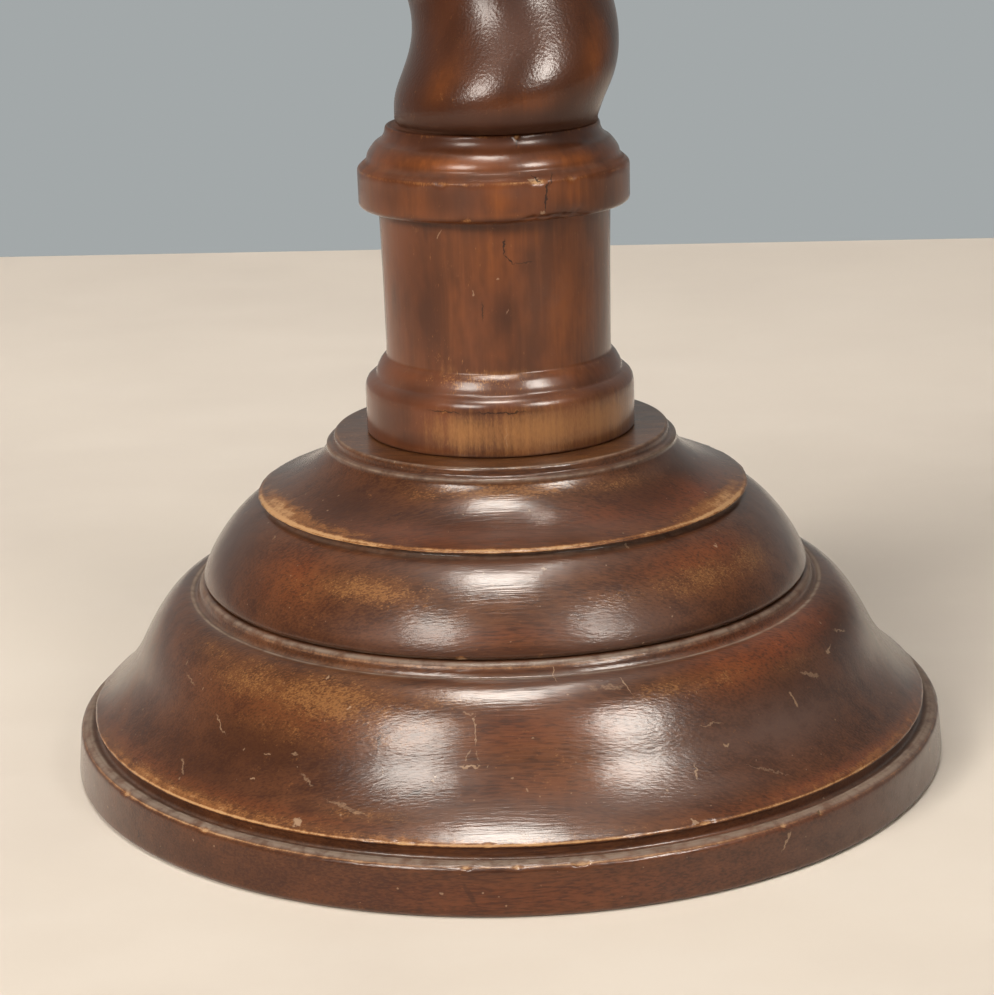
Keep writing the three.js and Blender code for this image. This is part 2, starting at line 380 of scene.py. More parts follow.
def column_outline():
    """Rings of the whole column: foot and collar, twist, upper collar and head."""
    foot = Outline(column_foot_corners(), fine=0.45)
    length = TWIST_PITCH * TWIST_TURNS
    head_bottom = TWIST_BOTTOM + length - TWIST_END_OVERLAP
    head = Outline(column_head_corners(head_bottom), coarse=4.0, fine=0.9)
    levels = twist_levels()
    from_end = np.minimum(levels, length - levels)
    fullness = smooth(from_end, TWIST_NECK_LEAD * TWIST_NECK_LENGTH, TWIST_NECK_LENGTH)
    swell = TWIST_SWELL * bell(from_end - TWIST_SWELL_HEIGHT, TWIST_SWELL_LENGTH)
    offset = TWIST_OFFSET * smooth(from_end, TWIST_OFFSET_LEAD * TWIST_OFFSET_RUN_OUT, TWIST_OFFSET_RUN_OUT)
    lean = TWIST_LEAN * bell(levels, TWIST_LEAN_LENGTH)
    turn = TWIST_START + 2 * math.pi * levels / TWIST_PITCH
    twist = {
        "radius": TWIST_NECK_RADIUS + (TWIST_RADIUS - TWIST_NECK_RADIUS) * fullness + swell,
        "height": TWIST_BOTTOM + levels,
        "run": foot.run[-1] + RUN_BETWEEN_PARTS + levels,
        "wear": np.zeros_like(levels),
        "dust": TWIST_DUST * bell(from_end, TWIST_DUST_LENGTH),
        "centre_x": offset * np.cos(turn) + lean,
        "centre_y": offset * np.sin(turn),
    }
    head.run = head.run + twist["run"][-1] + RUN_BETWEEN_PARTS
    for label, values in twist.items():
        setattr(foot, label, np.concatenate([getattr(foot, label), values, getattr(head, label)]))
    return foot


# bloom_and_sheen also holds a painted sheen of reflected light, shade also holds painted shade, and red on
# the drum's right also paints light.
# Patches and chips, each at an angle and a height
#
# gold is stain rubbed thin to gold, red an orange red stain, bloom_and_sheen a grey wax bloom and shade a
# darker stain.
# matt has lost its shine, bare and worn are for edges, and specks are small light spots.

# A soft patch, with half widths in degrees and millimetres
Patch = namedtuple("Patch", "angle height wide tall strength", defaults=(1.0,))

# A piece knocked off an edge: length along it, depth and reach across it, and how bare its wood is
Chip = namedtuple("Chip", "edge angle length depth reach bare", defaults=(1.3, 1.1))

LOWER_PATCHES = {
    "gold": [
        Patch(-28, 68, 14, 9), Patch(-43, 69, 12, 8, 0.8), Patch(-20, 59, 10, 7, 0.6),
        Patch(-9, 71, 9, 4, 0.6), Patch(-34, 56, 16, 10, 0.5), Patch(-14, 62, 11, 9, 0.5),
        Patch(10, 50, 16, 14, 0.4), Patch(24, 70, 8, 4, 0.7), Patch(33, 69, 9, 5, 0.6),
        Patch(-55, 73, 8, 5, 0.5), Patch(-31, 54, 9, 7, 0.4), Patch(-19, 33, 9, 3, 0.6),
        Patch(-2, 36, 9, 3, 0.3), Patch(6, 53, 12, 10, 0.3), Patch(49, 66, 9, 4, 0.5),
        Patch(-45, 28, 30, 2.4, 0.8), Patch(0, 28, 26, 2, 0.5), Patch(70, 27.5, 14, 2.4, 0.5),
    ],
    "red": [
        Patch(38, 71, 9, 7), Patch(50, 73, 10, 6), Patch(61, 74, 8, 5, 0.9), Patch(55, 28, 28, 1.8, 0.8),
        Patch(-45, 29.5, 28, 2.4, 0.5), Patch(5, 60, 14, 8, 0.4), Patch(-30, 62, 18, 9, 0.4),
        Patch(8, 45, 12, 8, 0.3), Patch(0, 8, 30, 8, 0.35), Patch(30, 20, 20, 2, 0.5),
    ],
    # Grey wax bloom together with a painted sheen: greyer patches that stand in for reflected light
    "bloom_and_sheen": [
        Patch(42, 49, 16, 11), Patch(20, 36, 18, 5, 0.7), Patch(-4, 36, 14, 5, 0.5),
        Patch(68, 52, 12, 12, 0.5), Patch(14, 76, 12, 3, 0.5), Patch(-66, 54, 10, 12, 0.5),
        Patch(-10, 47, 9, 8, 0.5), Patch(58, 10, 26, 14, 0.9), Patch(-70, 10, 18, 14, 0.5),
    ],
    # Darker stain together with painted shade, mostly on the flanks and the rim's left side where less light
    # falls
    "shade": [
        Patch(-38, 47, 14, 10, 0.9), Patch(-46, 38, 12, 8, 0.8), Patch(-22, 45, 9, 8, 0.5),
        Patch(66, 68, 10, 10, 0.7), Patch(48, 60, 8, 6, 0.4), Patch(-38, 8, 34, 10, 0.6),
        Patch(-27.9, 32.7, 1.6, 2, 0.8),
    ],
    "matt": [
        Patch(68, 71, 18, 9, 0.7), Patch(8, 42, 9, 12, 0.4), Patch(4, 60, 5, 9, 0.3),
    ],
    "bare": [
        Patch(-48, 27.6, 24, 1, 0.5), Patch(-12, 27.4, 16, 0.8, 0.4), Patch(56, 27.6, 24, 1, 0.35),
    ],
    "worn": [
        Patch(-40, 20.2, 40, 1.5, 0.85), Patch(12, 20.2, 34, 1.5, 0.8), Patch(-40, 26.3, 36, 1.5, 0.9),
        Patch(0, 26.3, 24, 1.5), Patch(40, 26.3, 24, 1.5, 0.8), Patch(-10, 80, 60, 1.5),
    ],
}

UPPER_PATCHES = {
    "gold": [
        Patch(-27, 104, 15, 6, 0.9), Patch(-41, 101, 12, 6, 0.5), Patch(41, 101, 15, 7, 0.8),
        Patch(56, 101, 10, 7, 0.8), Patch(22, 100, 10, 5, 0.5), Patch(2, 135, 32, 3.5, 0.9),
        Patch(38, 133, 18, 3, 0.7), Patch(-64, 120, 20, 1.8, 1.2), Patch(-10, 96, 14, 4, 0.3),
        Patch(62, 120, 20, 1.6), Patch(-24, 133, 10, 3, 0.6), Patch(0, 88, 30, 3, 0.3),
        Patch(0, 143.5, 180, 1.5, 0.5), Patch(0, 104, 60, 10, 0.3),
    ],
    "red": [
        Patch(-46, 103, 10, 8, 0.7), Patch(44, 107, 14, 5, 0.9), Patch(0, 90, 16, 4, 0.4),
        Patch(56, 123, 26, 5, 0.9), Patch(-20, 121.5, 30, 2.4, 0.6), Patch(48, 103, 16, 8, 0.5),
        Patch(30, 124, 14, 4, 0.6),
    ],
    # Grey wax bloom together with a painted sheen: greyer patches that stand in for reflected light
    "bloom_and_sheen": [
        Patch(-76, 103, 12, 14, 0.5), Patch(20, 91, 12, 6, 0.7), Patch(76, 100, 14, 14, 0.6),
        Patch(-18, 90, 14, 5, 0.5), Patch(0, 112, 28, 3, 0.6), Patch(0, 122, 30, 2.2, 0.7),
        Patch(60, 134, 16, 3, 0.4),
    ],
    # Darker stain together with painted shade: the scotia's sides, the seam at the foot and the far left
    # side
    "shade": [
        Patch(-48, 126, 22, 8), Patch(44, 126, 18, 5, 0.9), Patch(70, 130, 16, 8, 0.8),
        Patch(-20, 125, 16, 4, 0.5), Patch(0, 84, 90, 3, 0.7), Patch(-56, 100, 8, 12, 0.4),
        Patch(-74, 100, 16, 16, 0.9),
    ],
    "matt": [
        Patch(22, 93, 15, 8, 0.75), Patch(-18, 90, 14, 7, 0.5), Patch(-35, 103, 20, 8, 0.4),
        Patch(46, 103, 20, 8, 0.4), Patch(48, 127, 24, 9, 0.9), Patch(-46, 127, 20, 9, 0.45),
    ],
    "bare": [
        Patch(-68, 120, 18, 1.5, 0.7), Patch(-45, 120, 14, 0.9, 0.4), Patch(64, 120, 20, 1.2, 0.6),
    ],
    "worn": [
        Patch(-50, 118.6, 44, 2), Patch(0, 118.6, 40, 2, 0.95), Patch(55, 118.6, 34, 2, 0.9),
    ],
}

COLUMN_PATCHES = {
    "gold": [
        Patch(18, 154, 34, 11, 0.9), Patch(50, 154, 30, 11), Patch(-14, 154, 22, 9, 0.8),
        Patch(0, 176.5, 26, 2.2, 0.5), Patch(-26, 178, 8, 4, 0.4),
    ],
    "red": [
        Patch(-26, 263.5, 22, 3), Patch(34, 263, 18, 3.2), Patch(2, 250, 5, 8, 0.9), Patch(40, 251, 17, 8),
        Patch(14, 234, 12, 8, 0.8), Patch(-34, 249, 12, 8, 0.5), Patch(20, 200, 30, 30, 0.3),
        Patch(-22, 200, 8, 24, 0.4), Patch(-38, 294, 8, 8, 0.7), Patch(14, 287, 18, 4, 0.6),
        # Patch(40, 205, ...) is orange stain together with painted light: the drum's right side lighter
        # where more light falls
        Patch(50, 304, 9, 14, 0.7), Patch(-8, 228, 24, 15, 0.7), Patch(40, 205, 24, 36, 0.8),
        Patch(4, 243, 10, 1.5, 0.8),
    ],
    # Grey wax bloom together with a painted sheen: greyer patches that stand in for reflected light
    "bloom_and_sheen": [
        Patch(0, 170, 70, 4), Patch(-12, 249, 6, 6, 0.5), Patch(0, 270, 60, 2.6, 0.3),
        Patch(60, 168, 30, 5), Patch(-60, 168, 30, 5), Patch(8, 253, 8, 3, 0.4),
        Patch(26, 208, 14, 12, 0.4),
    ],
    # Darker stain together with painted shade: under the collar and the twist's bulge, on the left side, on
    # the upward slope and over the twist's highlights
    "shade": [
        Patch(3, 201, 7, 10), Patch(-42, 149, 14, 5, 0.9), Patch(44, 146, 20, 3, 0.6),
        Patch(0, 277, 180, 11), Patch(0, 258.8, 60, 1.6, 0.6), Patch(-62, 300, 22, 18),
        Patch(-60, 330, 26, 18), Patch(0, 330, 24, 18), Patch(-44, 208, 14, 34, 0.6),
        Patch(-42, 168, 14, 5, 0.8), Patch(46, 168, 14, 5, 0.7), Patch(-56, 155, 18, 12, 0.9),
        Patch(-20, 249, 14, 8, 0.8), Patch(-46, 249, 14, 8, 0.7), Patch(48, 249, 10, 8, 0.4),
        Patch(0, 241.6, 60, 1.4, 0.9), Patch(-8, 162.6, 40, 0.8, 0.5), Patch(45, 215, 10, 20, 0.4),
    ],
    "worn": [
        Patch(12, 257, 14, 1.4, 0.9), Patch(-20, 257, 12, 1.4, 0.5), Patch(0, 274, 40, 1.2, 0.4),
    ],
    "matt": [
        Patch(0, 258.2, 70, 2), Patch(0, 270, 70, 3, 0.5), Patch(0, 162.8, 60, 1.2, 0.6),
        Patch(0, 215, 180, 30, 0.35), Patch(0, 249, 80, 7, 0.45), Patch(0, 277, 180, 5, 0.7),
        Patch(-8, 338, 13, 16, 0.9),
    ],
    "specks": [
        Patch(-14, 174, 26, 5), Patch(12, 171, 18, 3, 0.8), Patch(-30, 182, 12, 8, 0.6),
        Patch(0, 160, 60, 3, 0.4),
    ],
}

# The plate's top is rubbed matt by what stands on it
PLATE_TOP = 1040.3
PLATE_PATCHES = {
    "matt": [Patch(0, PLATE_TOP, 180, 6)],
}

LOWER_CHIPS = [
    Chip(RIM_EDGE, 7.8, 5, 1), Chip(RIM_EDGE, -5.6, 3, 0.7), Chip(RIM_EDGE, 0.4, 2.6, 0.5),
    Chip(RIM_EDGE, -56.7, 6, 1), Chip(RIM_EDGE, 39.8, 2, 0.6), Chip(RIM_EDGE, 33.9, 2.4, 0.6),
    Chip(LOWER_LIP, 50.6, 5, 0.5), Chip(LOWER_LIP, 24, 7, 0.5), Chip(LOWER_LIP, -13, 9, 0.5),
    Chip(LOWER_LIP, -3, 4, 0.4), Chip(RIM_EDGE, -40, 5, 0.5), Chip(RIM_EDGE, 140, 7, 0.9),
    Chip(LOWER_LIP, -150, 8, 0.6), Chip(RIM_EDGE, 200, 4, 0.7),
]

UPPER_CHIPS = [
    Chip(UPPER_LIP, -30, 6, 0.4), Chip(UPPER_LIP, 12, 4, 0.3), Chip(UPPER_LIP, 48, 5, 0.4),
    Chip(UPPER_FOOT, -8, 4, 0.3), Chip(UPPER_LIP, 160, 6, 0.5),
]

COLUMN_CHIPS = [
    Chip(COLLAR_FOOT, 26, 30, 1.5, 2.4, 0), Chip(COLLAR_TOP, 18, 7, 0.9),
    Chip(COLLAR_TOP, -22, 5, 0.3, bare=0.4), Chip(COLLAR_TOP, -8, 4, 0.2, bare=0.3),
    Chip(COLLAR_FOOT, -12, 5, 0.5, bare=0.5), Chip(PLINTH_TOP, 6, 4, 0.3, bare=0.4),
    Chip(PLINTH_TOP, -24, 5, 0.3, bare=0.4), Chip(MOUTH, 12.5, 2, 0.6),
    Chip(COLLAR_TOP, 33, 4, 0.4, bare=0.6), Chip(COLLAR_FOOT, 170, 8, 0.7), Chip(COLLAR_TOP, -120, 6, 0.5),
]


# Meshes

def add_object(name, data):
    """A new object in the scene."""
    made = bpy.data.objects.new(name, data)
    bpy.context.scene.collection.objects.link(made)
    return made


def spaced_angles(count):
    """Angles round the axis in degrees, closer together on the front half than on the back."""
    front = round(count * FRONT_SHARE)
    ahead = np.linspace(-90, 90, front, endpoint=False)
    behind = np.linspace(90, 270, count - front, endpoint=False)
    return np.concatenate([ahead, behind])


def apart(angles, angle):
    """Distance in degrees from an angle, the short way round."""
    return (angles - angle + 180) % 360 - 180


def ripple(grid, strength, scale, seed):
    """Smooth noise over a grid of points, with hills about a scale of millimetres wide."""
    places = grid.reshape(-1, 3) / scale + seed
    heights = np.array([noise.noise(place) for place in places.tolist()])
    return strength * heights.reshape(grid.shape[:2])


def chip_reach(outline, rings, angles, item):
    """A chip's strength across its edge at every ring, and each point's distance along the edge."""
    across = bell(outline.run[rings] - outline.run_at(*item.edge), item.reach)
    along = np.radians(apart(angles, item.angle)) * item.edge[0]
    return across[:, None], along


def hollowing(outline, rings, angles, grid, chips):
    """How far each point lies below the true turned surface, in millimetres."""
    heights = outline.height[rings]
    low = outline.height[0] + TRUE_MARGIN
    high = outline.height[-1] - TRUE_MARGIN
    depth = SLOW_WAVES[0] + ripple(grid, *SLOW_WAVES) + FINE_WAVES[0] + ripple(grid, *FINE_WAVES)
    rub = np.clip(RUB_EVEN + ripple(grid, *RUB_BROAD), 0, 1) + np.maximum(ripple(grid, *RUB_FINE), 0)
    depth += RUB_DEPTH * outline.wear[rings][:, None] * rub
    ragged = 1 + ripple(grid, *CHIP_WAVES)
    for item in chips:
        across, along = chip_reach(outline, rings, angles, item)
        inside = smooth(-np.abs(along), -CHIP_RIM * item.length, -CHIP_FLOOR * item.length)
        depth += item.depth * across * inside * ragged
    return depth * ((heights > low) & (heights < high))[:, None]


def painted(patches, angles, heights):
    """Strength of one kind of patch at every point."""
    amount = np.zeros((len(heights), len(angles)))
    for item in patches:
        around = bell(apart(angles, item.angle), item.wide)
        up = bell(heights - item.height, item.tall)
        amount = np.maximum(amount, item.strength * up[:, None] * around[None, :])
    return amount


def surface_layers(outline, rings, angles, patches, chips):
    """Wear, dust and every kind of patch, each as a value at every point."""
    all_round = np.ones(len(angles))
    layers = {label: painted(items, angles, outline.height[rings]) for label, items in patches.items()}
    worn = np.maximum(layers.get("worn", 0.0), UNWORN_SHARE)
    layers["wear"] = outline.wear[rings][:, None] * all_round * worn + layers.pop("bare", 0.0)
    layers["dust"] = outline.dust[rings][:, None] * all_round
    for item in chips:
        across, along = chip_reach(outline, rings, angles, item)
        bare = item.bare * across * bell(along, CHIP_BARE * item.length)
        layers["wear"] = np.maximum(layers["wear"], bare)
    return layers


def ring_faces(levels, segments):
    """Four-cornered faces between rings of points, and three-cornered ones to a middle point at each end."""
    ids = np.arange(levels * segments).reshape(levels, segments)
    after = np.roll(ids, -1, axis=1)
    sides = np.stack([ids[:-1], after[:-1], after[1:], ids[1:]], axis=2).reshape(-1, 4)
    bottom_id = levels * segments
    top_id = bottom_id + 1
    caps = [(bottom_id, int(second), int(first)) for first, second in zip(ids[0], after[0])]
    caps += [(top_id, int(first), int(second)) for first, second in zip(ids[-1], after[-1])]
    return sides.tolist() + caps


def ring_points(outline, rings, turn, radius, height):
    """Points round the outline's centres, which circle the axis on the twist."""
    x = outline.centre_x[rings][:, None] + radius * np.sin(turn)
    y = outline.centre_y[rings][:, None] - radius * np.cos(turn)
    return np.stack([x, y, height], axis=2)


def outward_slope(outline, rings):
    """Direction that faces out of the surface at every ring, as its parts along the radius and upward."""
    along_radius = np.gradient(outline.height, outline.run)[rings]
    upward = -np.gradient(outline.radius, outline.run)[rings]
    length = np.maximum(np.hypot(along_radius, upward), TINY)
    return (along_radius / length)[:, None], (upward / length)[:, None]


def turned_mesh(name, outline, segments, patches, chips):
    """A closed turned surface with wear, dust and colour patches stored on the points.

    An outline starts and ends on the axis, where one point stands for the whole ring.
    """
    angles = spaced_angles(segments)
    turn = np.radians(angles)
    rings = slice(1, -1)
    radius = np.repeat(outline.radius[rings][:, None], segments, axis=1)
    height = np.repeat(outline.height[rings][:, None], segments, axis=1)
    depth = hollowing(outline, rings, angles, ring_points(outline, rings, turn, radius, height), chips)
    along_radius, upward = outward_slope(outline, rings)
    points = ring_points(outline, rings, turn, radius - depth * along_radius, height - depth * upward)
    middles = np.array([[0, 0, outline.height[0]], [0, 0, outline.height[-1]]])
    places = np.concatenate([points.reshape(-1, 3), middles]) * MM

    mesh = bpy.data.meshes.new(name)
    mesh.from_pydata(places.tolist(), [], ring_faces(len(radius), segments))
    mesh.shade_smooth()
    for label, values in surface_layers(outline, rings, angles, patches, chips).items():
        everywhere = np.concatenate([values.ravel(), [values[0].mean(), values[-1].mean()]])
        layer = mesh.attributes.new(label, "FLOAT", "POINT")
        layer.data.foreach_set("value", everywhere.astype(np.float32))
    return add_object(name, mesh)


# Fine marks

# A scratch, spot or tick: its middle, then length and width in millimetres, and slant in degrees
Mark = namedtuple("Mark", "angle height length width slant strength", defaults=(0.7, 0, 1.0))

LOWER_PALE_MARKS = [
    Mark(-29.7, 74.6, 1, 0.9), Mark(-24.3, 66.6, 1, 1.5, 60), Mark(-17.6, 47.1, 3.4, 0.6, -74, 0.5),
    Mark(-4.9, 62.2, 11, 0.5, -86, 0.75), Mark(-6.2, 67.5, 6, 0.5, -9, 0.5),
    Mark(-5.9, 53.9, 5.6, 0.5, 58, 0.6), Mark(-4.6, 53.5, 5.9, 0.5, 114, 0.5),
    Mark(-5.7, 49.8, 8.4, 1, 0, 0.9), Mark(-21.7, 34.4, 22, 1.4, -10, 0.5), Mark(-27.7, 28.4, 3.8, 2.8),
    Mark(-35.8, 46.3, 3, 0.8, 3, 0.7), Mark(-36.8, 37.6, 2.4, 0.9, -7, 0.8),
    Mark(-31.3, 48.5, 4, 0.7, -8, 0.6), Mark(-28.4, 41, 8, 1.2, -26, 0.5),
    Mark(-57, 61.3, 13, 0.4, -12, 0.6), Mark(-46.2, 51.2, 13, 0.45, -31, 0.7),
    Mark(-49.7, 33.9, 9, 0.9, -40, 0.6), Mark(16, 72.8, 13, 2.2, -4, 0.5), Mark(13, 73.4, 6, 1.4, -4, 0.4),
    Mark(18.2, 72.8, 6, 0.5, -62, 0.9), Mark(7.5, 77.6, 4.2, 0.5, -90),
    Mark(45.8, 54.9, 7.4, 1, -80, 0.9), Mark(66, 66.2, 12, 0.5, -19, 0.7),
    Mark(59.4, 63.7, 8, 0.7, 8, 0.8), Mark(51.6, 60, 14, 1.6, -20, 0.6),
    Mark(29.7, 55.6, 12, 0.6, -3, 0.6), Mark(31.2, 47.1, 1.6, 1.6, 0, 0.8),
    Mark(25.4, 41.4, 5, 0.6, -98, 0.9), Mark(36, 36, 22, 0.5, -24, 0.5), Mark(34, 14, 9, 0.9, -118, 0.8),
    Mark(22.6, 27.1, 3.2, 0.7, -33),
]

LOWER_DARK_MARKS = [
    Mark(-18.8, 55.9, 7, 1, -95, 0.6), Mark(-12.5, 41.3, 8.5, 1.3, 26, 0.8),
    Mark(-5.4, 53, 3.6, 3.2, 0, 0.4), Mark(-52.8, 6.7, 3.4, 0.8, -89), Mark(-5, 9, 12, 1.8, -66, 0.5),
    Mark(39.7, 19.8, 1.8, 1.4), Mark(8, 44, 5, 0.8, -8, 0.4),
]

UPPER_PALE_MARKS = [
    Mark(28, 115, 1.2, 1), Mark(8, 112, 2, 1, 0, 0.7), Mark(49, 109, 1.2, 1),
    Mark(-60, 112, 1.2, 1, 0, 0.5),
]

UPPER_DARK_MARKS = [
    Mark(-3, 103.4, 13, 0.45, -4, 0.7), Mark(4, 101.4, 11, 0.45, 3, 0.7), Mark(-1, 99.2, 14, 0.4, -2, 0.6),
    Mark(-30, 126, 9, 0.5, 14, 0.6), Mark(-22, 128, 8, 0.4, 12, 0.6),
]

COLUMN_PALE_MARKS = [
    Mark(-28, 234.5, 4.6, 0.5, 60, 0.7), Mark(1, 216, 1.2, 0.9, 0, 0.7),
    Mark(-11.5, 210.8, 2.4, 0.6, -80, 0.7), Mark(4.5, 203, 2.6, 0.6, 70, 0.6),
    Mark(20, 243.6, 2, 1.6, 0, 0.9), Mark(16, 257.2, 4.6, 1), Mark(2, 152.5, 14, 0.5, 90, 0.4),
    Mark(42, 333, 2, 0.7, -50, 0.8),
]

COLUMN_DARK_MARKS = [
    Mark(4, 229.5, 7, 0.6, 90), Mark(6.6, 224, 6, 0.6, -42), Mark(13, 222.4, 10, 0.5, 2, 0.6),
    Mark(21.4, 250, 14, 0.9, 84), Mark(17.6, 257.2, 5, 0.5, -50), Mark(24, 256.6, 6, 0.5, 60, 0.8),
    Mark(12.4, 271, 4.4, 0.5, 65, 0.8), Mark(-7.6, 203, 10, 0.45, 90, 0.7),
    Mark(0, 162.9, 22, 0.5, 0, 0.9), Mark(-24, 162.7, 16, 0.5, 0, 0.8),
]


# Materials

class Graph:
    """Short ways to add and join the nodes of one material or world."""

    def __init__(self, owner):
        owner.use_nodes = True
        self.owner = owner
        self.tree = owner.node_tree

    def node(self, kind, inputs, output=0, **settings):
        made = self.tree.nodes.new(kind)
        for key, value in settings.items():
            setattr(made, key, value)
        for key, value in inputs.items():
            self.feed(made.inputs[key], value)
        return made.outputs[output]

    def feed(self, socket, value):
        if isinstance(value, bpy.types.NodeSocket):
            self.tree.links.new(value, socket)
        else:
            socket.default_value = value

    def shade(self, inputs):
        for key, value in inputs.items():
            self.feed(self.tree.nodes["Principled BSDF"].inputs[key], value)

    def math(self, operation, first, second):
        return self.node("ShaderNodeMath", {0: first, 1: second}, operation=operation)

    def add(self, *terms):
        total = terms[0]
        for term in terms[1:]:
            total = self.math("ADD", total, term)
        return total

    def times(self, first, second):
        return self.math("MULTIPLY", first, second)

    def span(self, value, low, high, to_low=0.0, to_high=1.0):
        """A value's way from low to high, eased, and turned into another range."""
        inputs = {"Value": value, "From Min": low, "From Max": high, "To Min": to_low, "To Max": to_high}
        return self.node("ShaderNodeMapRange", inputs, interpolation_type="SMOOTHSTEP")

    def mix(self, factor, first, second):
        return self.node("ShaderNodeMix", {0: factor, 6: first, 7: second}, output=2, data_type="RGBA")

    def noise(self, place, scale, detail, roughness):
        """Noise with one scale, or with three for one stretched along the axes."""
        if isinstance(scale, tuple):
            place = self.node("ShaderNodeVectorMath", {0: place, 1: scale}, operation="MULTIPLY")
            scale = 1
        inputs = {"Vector": place, "Scale": scale, "Detail": detail, "Roughness": roughness}
        return self.node("ShaderNodeTexNoise", inputs)

    def attribute(self, label):
        return self.node("ShaderNodeAttribute", {}, output="Fac", attribute_name=label)

    def place(self):
        return self.node("ShaderNodeTexCoord", {}, output="Object")

    def unrolled(self, place, radius):
        """Arc length at one radius and height as a flat pair, in millimetres, with a slight wobble."""
        x, y, z = self.split(place)
        around = self.times(self.math("ARCTAN2", x, self.times(y, -1.0)), radius)
        flat = self.node("ShaderNodeCombineXYZ", {"X": around, "Y": self.times(z, 1 / MM)})
        wobble = self.node("ShaderNodeTexNoise", {"Vector": place, **WOBBLE_NOISE}, output="Color")
        spread = (2 * WOBBLE, 2 * WOBBLE, 0)
        return self.node("ShaderNodeVectorMath", {0: wobble, 1: spread, 2: flat}, operation="MULTIPLY_ADD")

    def split(self, vector):
        made = self.tree.nodes.new("ShaderNodeSeparateXYZ")
        self.feed(made.inputs[0], vector)
        return made.outputs

    def marks(self, flat, radius, items):
        """Strength of a list of fine marks on the unrolled surface, and the surface for the next list.

        After every few marks the place is passed on by way of the strength so far, which leaves it as
        it is. The marks are then worked out a few at a time, and the renderer's memory holds them all.
        """
        amount = 0.0
        for index, item in enumerate(items):
            if index % MARKS_AT_ONCE == MARKS_AT_ONCE - 1:
                inputs = {0: amount, 1: (0, 0, 0), 2: flat}
                flat = self.node("ShaderNodeVectorMath", inputs, operation="MULTIPLY_ADD")
            inputs = {
                "Vector": flat,
                "Location": (math.radians(item.angle) * radius + WOBBLE, item.height + WOBBLE, 0),
                "Rotation": (0, 0, math.radians(item.slant)),
                "Scale": (0.5 * item.length + MARK_SOFT_LENGTH, 0.5 * item.width + MARK_SOFT_WIDTH, 1),
            }
            inside = self.node("ShaderNodeMapping", inputs, vector_type="TEXTURE")
            reach = self.node("ShaderNodeVectorMath", {0: inside}, output="Value", operation="LENGTH")
            shape = self.span(reach, *MARK_EDGE, 0.0, item.strength)
            amount = self.math("MAXIMUM", amount, shape)
        return amount, flat


# Colours of the discs
DEEP_STAIN = (0.036, 0.0115, 0.005, 1)
RED_STAIN = (0.082, 0.027, 0.0098, 1)
STAIN_FIBRE = (0.115, 0.041, 0.0145, 1)
AMBER_TINT = (0.118, 0.0455, 0.0135, 1)
RUBBED_GOLD = (0.2, 0.086, 0.0275, 1)
ORANGE_RED = (0.19, 0.043, 0.0095, 1)
# Grey of the wax bloom, which also paints a sheen of reflected light
BLOOM_AND_SHEEN_GREY = (0.098, 0.059, 0.047, 1)
DUST_GREY = (0.22, 0.165, 0.125, 1)

# Colours of the column
COLUMN_DARK = (0.062, 0.0185, 0.007, 1)
COLUMN_RED = (0.125, 0.037, 0.0125, 1)
COLUMN_FIBRE = (0.155, 0.053, 0.018, 1)
FLAME_ORANGE = (0.25, 0.068, 0.0105, 1)
PLINTH_AMBER = (0.278, 0.12, 0.036, 1)
# Grey of the wax bloom on the column, which also paints a sheen of reflected light
COLUMN_BLOOM_AND_SHEEN = (0.115, 0.052, 0.033, 1)
# Darker stain, which the shade patches also use as painted shade
COLUMN_SHADE = (0.034, 0.0095, 0.004, 1)
COLUMN_DUST = (0.11, 0.065, 0.045, 1)

# Colours of worn edges and fine marks
EDGE_AMBER = (0.2, 0.078, 0.024, 1)
BARE_TAN = (0.41, 0.232, 0.107, 1)
PALE_SCRAPE = (0.3, 0.19, 0.115, 1)
NEAR_BLACK = (0.012, 0.006, 0.004, 1)

# Noises: scale in repeats per metre, one or along X, Y and Z, then detail and roughness
DISC_CLOUD = (23, 3, 0.6)
DISC_DRIFT = ((26, 120, 120), 4, 0.65)
DISC_FIBRE = ((150, 1250, 1250), 2, 0.6)
DISC_FLECK = ((760, 1700, 1700), 2, 0.6)
DISC_GRIT = (190, 3, 0.6)
DISC_SPOTS = (420, 1, 0.5)
DISC_LINES = ((50, 1000, 1000), 2, 0.65)
COLUMN_CLOUD = ((38, 38, 16), 4, 0.6)
COLUMN_STREAK = ((420, 420, 24), 3, 0.6)
COLUMN_FLECK = ((1700, 1700, 500), 2, 0.6)
COLUMN_GRIT = (210, 3, 0.6)
COLUMN_GRAIN = (820, 1, 0.5)

# Ranges: where a value starts to count and where it counts in full, then the strength at each where that
# isn't 0 and 1
TWIST_RANGE = (0.2735, 0.276)
DISC_TONE = (0.38, 0.62)
LIGHT_FIBRE = (0.42, 0.66, 0, 0.4)
DARK_FIBRE = (0.5, 0.3, 0, 0.55)
DISC_RED = (0.7, 1.15, 0.3, 0.8)
DISC_AMBER = (0.3, 0.6, 0.3, 0.8)
GOLD_FLECKS = (0.98, 1.26, 0, 0.9)
GOLD_REACH = (0.03, 0.4)
DISC_BLOOM_AND_SHEEN_RANGE = (0.25, 0.6, 0.5, 0.85)
DISC_DUST = (0.3, 0.6, 0.3, 0.9)
DISC_SCRAPES = (0.75, 1.35)
PALE_SPOTS = (0.76, 0.82, 0, 0.5)
COLUMN_TONE = (0.36, 0.64)
COLUMN_LIGHT_FIBRE = (0.45, 0.7, 0, 0.16)
COLUMN_FLAME = (0.75, 1.2, 0.35, 0.85)
COLUMN_AMBER = (0.75, 1.75, 0, 0.95)
COLUMN_BLOOM_AND_SHEEN_RANGE = (0.3, 0.6, 0.4, 0.7)
COLUMN_SPECKS = (1.12, 1.3, 0, 0.75)
COLUMN_GREY = (0.3, 0.65, 0.35, 1.0)
COLUMN_SCRAPES = (0.7, 1.25)
